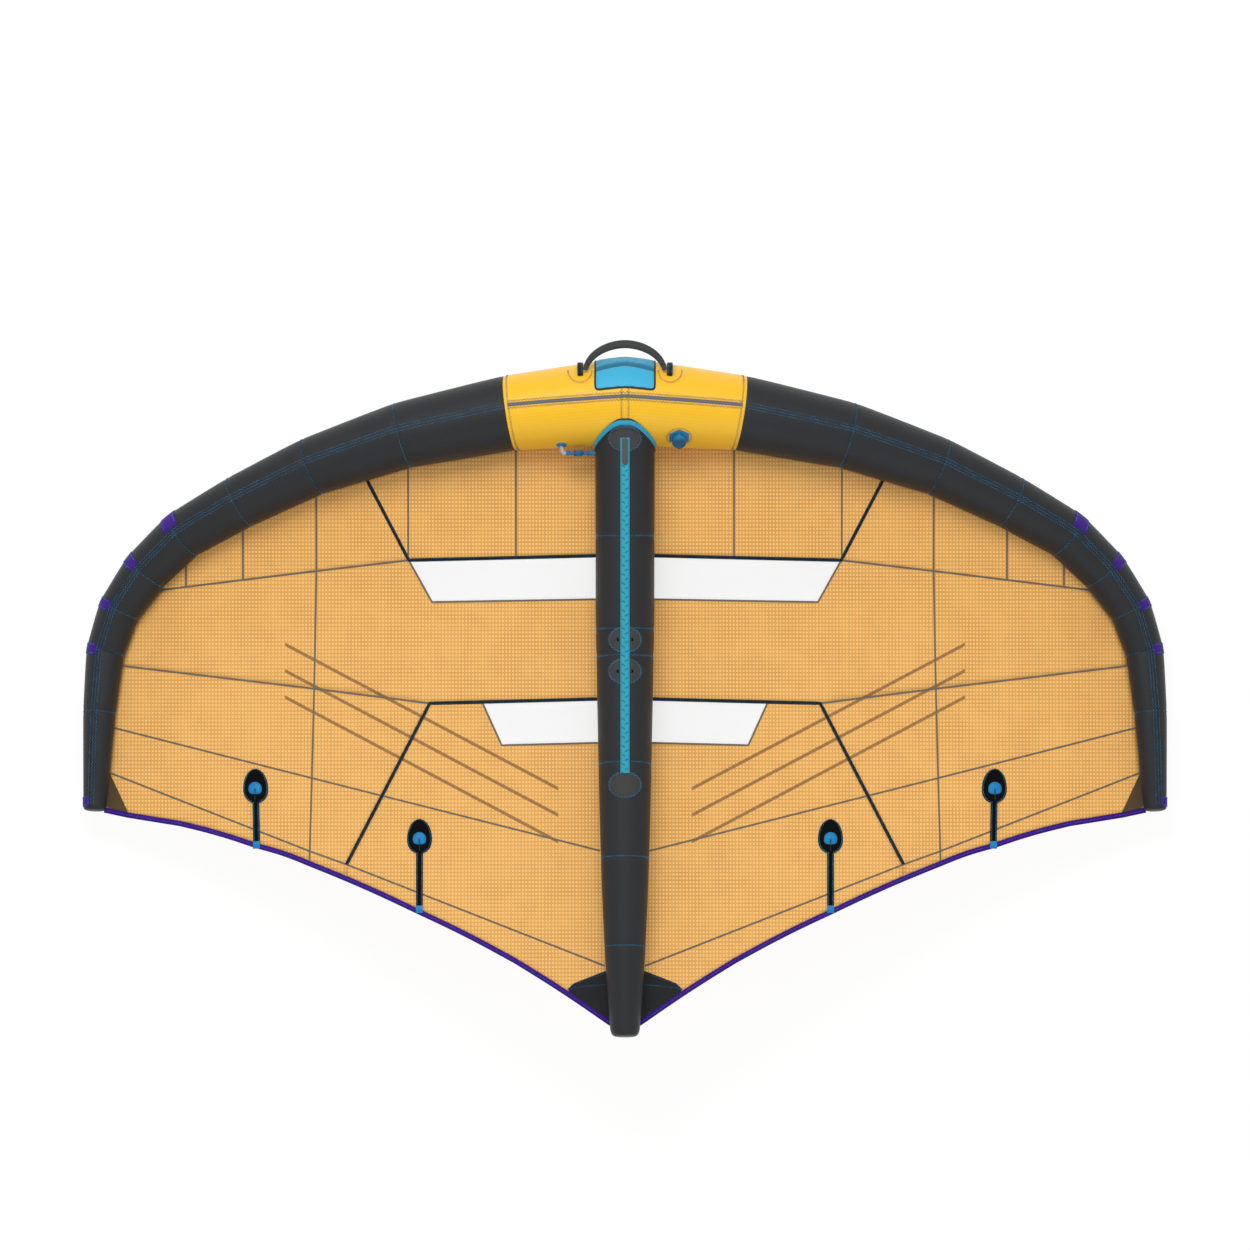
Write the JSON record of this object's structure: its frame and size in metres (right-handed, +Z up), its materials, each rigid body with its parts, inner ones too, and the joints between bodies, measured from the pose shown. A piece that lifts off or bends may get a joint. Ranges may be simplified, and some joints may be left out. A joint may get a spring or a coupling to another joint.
{
  "type": "wingfoil wing",
  "caption": "Inflatable wing for wingfoiling: swept leading edge tube with bladder, centre strut, two-bay canopy with windows, grab handle, valve and air hose.",
  "frame": {"origin": "middle of the footprint on the floor, with the wing lying strut side up on its two tip tubes", "axes": "+X along the span to the right tip as seen from above, +Y from the tail to the leading edge, +Z up"},
  "size_m": [3.257, 2.0835, 0.5611],
  "materials": {
    "nose_cloth": "satin",
    "tube_cloth": "matte",
    "bladder_film": "gloss",
    "canopy_cloth": "satin",
    "window_film": "gloss",
    "hem_tape": "matte",
    "patch_cloth": "matte",
    "pad_foam": "satin",
    "strap_web": "matte",
    "handle_grip": "matte",
    "tongue_cloth": "matte",
    "blue_plastic": "satin",
    "dark_plastic": "satin",
    "clear_hose": "gloss",
    "batten_glass": "satin"
  },
  "bodies": {
    "wing": {"air_hose": "clear_hose", "batten_dome_left_inner": "blue_plastic", "batten_dome_left_outer": "blue_plastic", "batten_dome_right_inner": "blue_plastic", "batten_dome_right_outer": "blue_plastic", "batten_left_inner": "batten_glass", "batten_left_outer": "batten_glass", "batten_pocket_left_inner": "patch_cloth", "batten_pocket_left_outer": "patch_cloth", "batten_pocket_right_inner": "patch_cloth", "batten_pocket_right_outer": "patch_cloth", "batten_right_inner": "batten_glass", "batten_right_outer": "batten_glass", "canopy_left_front": "canopy_cloth", "canopy_left_middle": "canopy_cloth", "canopy_left_rear_inner": "canopy_cloth", "canopy_left_rear_outer": "canopy_cloth", "canopy_right_front": "canopy_cloth", "canopy_right_middle": "canopy_cloth", "canopy_right_rear_inner": "canopy_cloth", "canopy_right_rear_outer": "canopy_cloth", "clip_base": "dark_plastic", "front_window_left": "window_film", "front_window_right": "window_film", "handle_patch_left": "nose_cloth", "handle_patch_right": "nose_cloth", "handle_tab_left": "patch_cloth", "handle_tab_right": "patch_cloth", "le_bladder": "bladder_film", "le_port_elbow": "clear_hose", "le_port_flange": "blue_plastic", "le_sleeve_centre": "nose_cloth", "le_sleeve_left_bend": "tube_cloth", "le_sleeve_left_inner": "tube_cloth", "le_sleeve_left_middle": "tube_cloth", "le_sleeve_left_tip": "tube_cloth", "le_sleeve_right_bend": "tube_cloth", "le_sleeve_right_inner": "tube_cloth", "le_sleeve_right_middle": "tube_cloth", "le_sleeve_right_tip": "tube_cloth", "nose_pad": "pad_foam", "rear_window_left": "window_film", "rear_window_right": "window_film", "strap_tongue": "tongue_cloth", "strut_bladder": "bladder_film", "strut_collar": "strap_web", "strut_patch_front": "patch_cloth", "strut_patch_middle_front": "patch_cloth", "strut_patch_middle_rear": "patch_cloth", "strut_patch_rear": "patch_cloth", "strut_port": "blue_plastic", "strut_sleeve": "tube_cloth", "strut_strap": "strap_web", "trailing_hem_left": "hem_tape", "trailing_hem_right": "hem_tape", "valve_flange": "blue_plastic"},
    "handle": {"le_handle": "handle_grip"},
    "valve": {"valve_body": "blue_plastic"},
    "valve_lid": {"valve_cap": "dark_plastic"},
    "clip_arm": {"clip_lever": "dark_plastic"}
  },
  "joints": [
    {"name": "handle_swing", "type": "hinge", "parent": "wing", "child": "handle", "pos_m": [0, 0.95075, 0.4143], "axis": [1, 0, 0], "range_deg": [-25, 115]},
    {"name": "valve_twist", "type": "hinge", "parent": "wing", "child": "valve", "pos_m": [0.162, 0.74837, 0.40255], "axis": [0, -0.7547, 0.6561], "range_deg": [0, 90]},
    {"name": "valve_lid_flip", "type": "hinge", "parent": "valve", "child": "valve_lid", "pos_m": [0.1855, 0.73154, 0.41718], "axis": [0, 0.6561, 0.7547], "range_deg": [0, 150]},
    {"name": "hose_clip_open", "type": "hinge", "parent": "wing", "child": "clip_arm", "pos_m": [-0.148, 0.70276, 0.37434], "axis": [0, -1, 0], "range_deg": [0, 60]}
  ]
}
